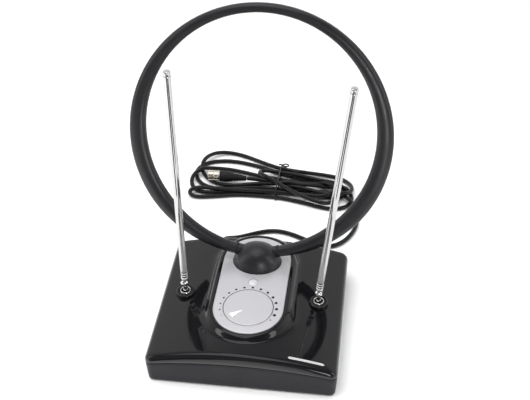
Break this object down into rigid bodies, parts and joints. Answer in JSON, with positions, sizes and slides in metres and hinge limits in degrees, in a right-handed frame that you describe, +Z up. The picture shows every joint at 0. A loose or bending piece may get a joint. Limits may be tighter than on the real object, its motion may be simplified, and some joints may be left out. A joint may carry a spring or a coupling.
{
  "type": "rabbit ears antenna",
  "caption": "Indoor television aerial: a tilting loop and telescopic rods that swivel and tilt on a weighted base, with a gain dial and a lead ending in a coaxial plug.",
  "frame": {"origin": "on the surface that the feet stand on, under the centre of the box around the base, loop and rods, without the free lead", "axes": "+Z up, +X to the object's right seen from the dial side, +Y to the back where the lead leaves, the dial faces -Y and up"},
  "size_m": [0.2114, 0.3101, 0.25],
  "materials": {
    "gloss_black": "high gloss moulded ABS",
    "satin_black": "fine satin texture",
    "loop_black": "smooth satin",
    "silver_paint": "satin silver",
    "chrome": "polished",
    "steel": "plain",
    "tinplate": "dull",
    "brass": "plain",
    "plug_nickel": "warm nickel plate",
    "copper": "bare wire",
    "rubber": "matt",
    "cord_jacket": "smooth PVC jacket",
    "board_green": "solder mask",
    "ferrite": "dull",
    "insulator": "plain",
    "clear_lens": "frosted translucent"
  },
  "bodies": {
    "housing": {"base_tray": "satin_black", "top_cover": "gloss_black", "case_screw_front_left": "steel", "case_screw_front_right": "steel", "case_screw_back_left": "steel", "case_screw_back_right": "steel", "foot_front_left": "rubber", "foot_front_right": "rubber", "foot_back_left": "rubber", "foot_back_right": "rubber", "ballast_plate": "steel", "circuit_board": "board_green", "amplifier_shield": "tinplate", "matching_transformer": "ferrite", "indicator_led": "clear_lens", "indicator_lens": "clear_lens", "gain_potentiometer": "steel", "faceplate": "silver_paint", "loop_bracket": "steel", "left_swivel_collar": "satin_black", "left_swivel_bezel": "chrome", "right_swivel_collar": "satin_black", "right_swivel_bezel": "chrome", "cord_gland": "rubber", "antenna_cord": "cord_jacket", "cord_hank": "cord_jacket", "cord_tie": "rubber", "plug_shell": "plug_nickel", "plug_insulator": "insulator", "plug_pin": "brass", "plug_boot": "rubber"},
    "gain_dial": {"gain_knob": "silver_paint", "knob_shaft": "brass"},
    "uhf_loop": {"loop_front_shell": "loop_black", "loop_back_shell": "loop_black", "loop_conductor": "copper", "loop_axle": "steel", "barrel_front": "loop_black", "barrel_back": "loop_black", "loop_grommet_left": "rubber", "loop_grommet_right": "rubber"},
    "left_swivel": {"left_swivel_fork": "chrome", "left_swivel_nut": "steel", "left_hinge_pin": "steel"},
    "left_rod_base": {"left_rod_tongue": "chrome", "left_rod_section_1": "chrome"},
    "left_rod_middle": {"left_rod_section_2": "chrome"},
    "left_rod_upper": {"left_rod_section_3": "chrome"},
    "left_rod_tip": {"left_rod_section_4": "chrome", "left_tip_cap": "chrome"},
    "right_swivel": {"right_swivel_fork": "chrome", "right_swivel_nut": "steel", "right_hinge_pin": "steel"},
    "right_rod_base": {"right_rod_tongue": "chrome", "right_rod_section_1": "chrome"},
    "right_rod_middle": {"right_rod_section_2": "chrome"},
    "right_rod_upper": {"right_rod_section_3": "chrome"},
    "right_rod_tip": {"right_rod_section_4": "chrome", "right_tip_cap": "chrome"}
  },
  "joints": [
    {"name": "gain_turn", "type": "hinge", "parent": "housing", "child": "gain_dial", "pos_m": [0, -0.0323, 0.04], "axis": [0, 0, -1], "range_deg": [0, 270]},
    {"name": "loop_tilt", "type": "hinge", "parent": "housing", "child": "uhf_loop", "pos_m": [0, 0.0231, 0.0397], "axis": [-1, 0, 0], "range_deg": [-15, 35]},
    {"name": "left_swivel_turn", "type": "hinge", "parent": "housing", "child": "left_swivel", "pos_m": [-0.0547, -0.0132, 0.0432], "axis": [0, 0, 1], "range_deg": [-60, 60]},
    {"name": "left_rod_tilt", "type": "hinge", "parent": "left_swivel", "child": "left_rod_base", "pos_m": [-0.0547, -0.0132, 0.0432], "axis": [0, -1, 0], "range_deg": [0, 85]},
    {"name": "left_slide_2", "type": "slide", "parent": "left_rod_base", "child": "left_rod_middle", "axis": [0, 0, 1], "range_m": [0, 0.15]},
    {"name": "left_slide_3", "type": "slide", "parent": "left_rod_middle", "child": "left_rod_upper", "axis": [0, 0, 1], "range_m": [0, 0.15]},
    {"name": "left_slide_4", "type": "slide", "parent": "left_rod_upper", "child": "left_rod_tip", "axis": [0, 0, 1], "range_m": [0, 0.15]},
    {"name": "right_swivel_turn", "type": "hinge", "parent": "housing", "child": "right_swivel", "pos_m": [0.0547, -0.0132, 0.0432], "axis": [0, 0, 1], "range_deg": [-42.4, 77.6]},
    {"name": "right_rod_tilt", "type": "hinge", "parent": "right_swivel", "child": "right_rod_base", "pos_m": [0.0547, -0.0132, 0.0432], "axis": [0.3024, 0.9532, 0], "range_deg": [-6, 79]},
    {"name": "right_slide_2", "type": "slide", "parent": "right_rod_base", "child": "right_rod_middle", "axis": [0.0996, -0.0316, 0.9945], "range_m": [0, 0.15]},
    {"name": "right_slide_3", "type": "slide", "parent": "right_rod_middle", "child": "right_rod_upper", "axis": [0.0996, -0.0316, 0.9945], "range_m": [0, 0.15]},
    {"name": "right_slide_4", "type": "slide", "parent": "right_rod_upper", "child": "right_rod_tip", "axis": [0.0996, -0.0316, 0.9945], "range_m": [0, 0.15]}
  ]
}
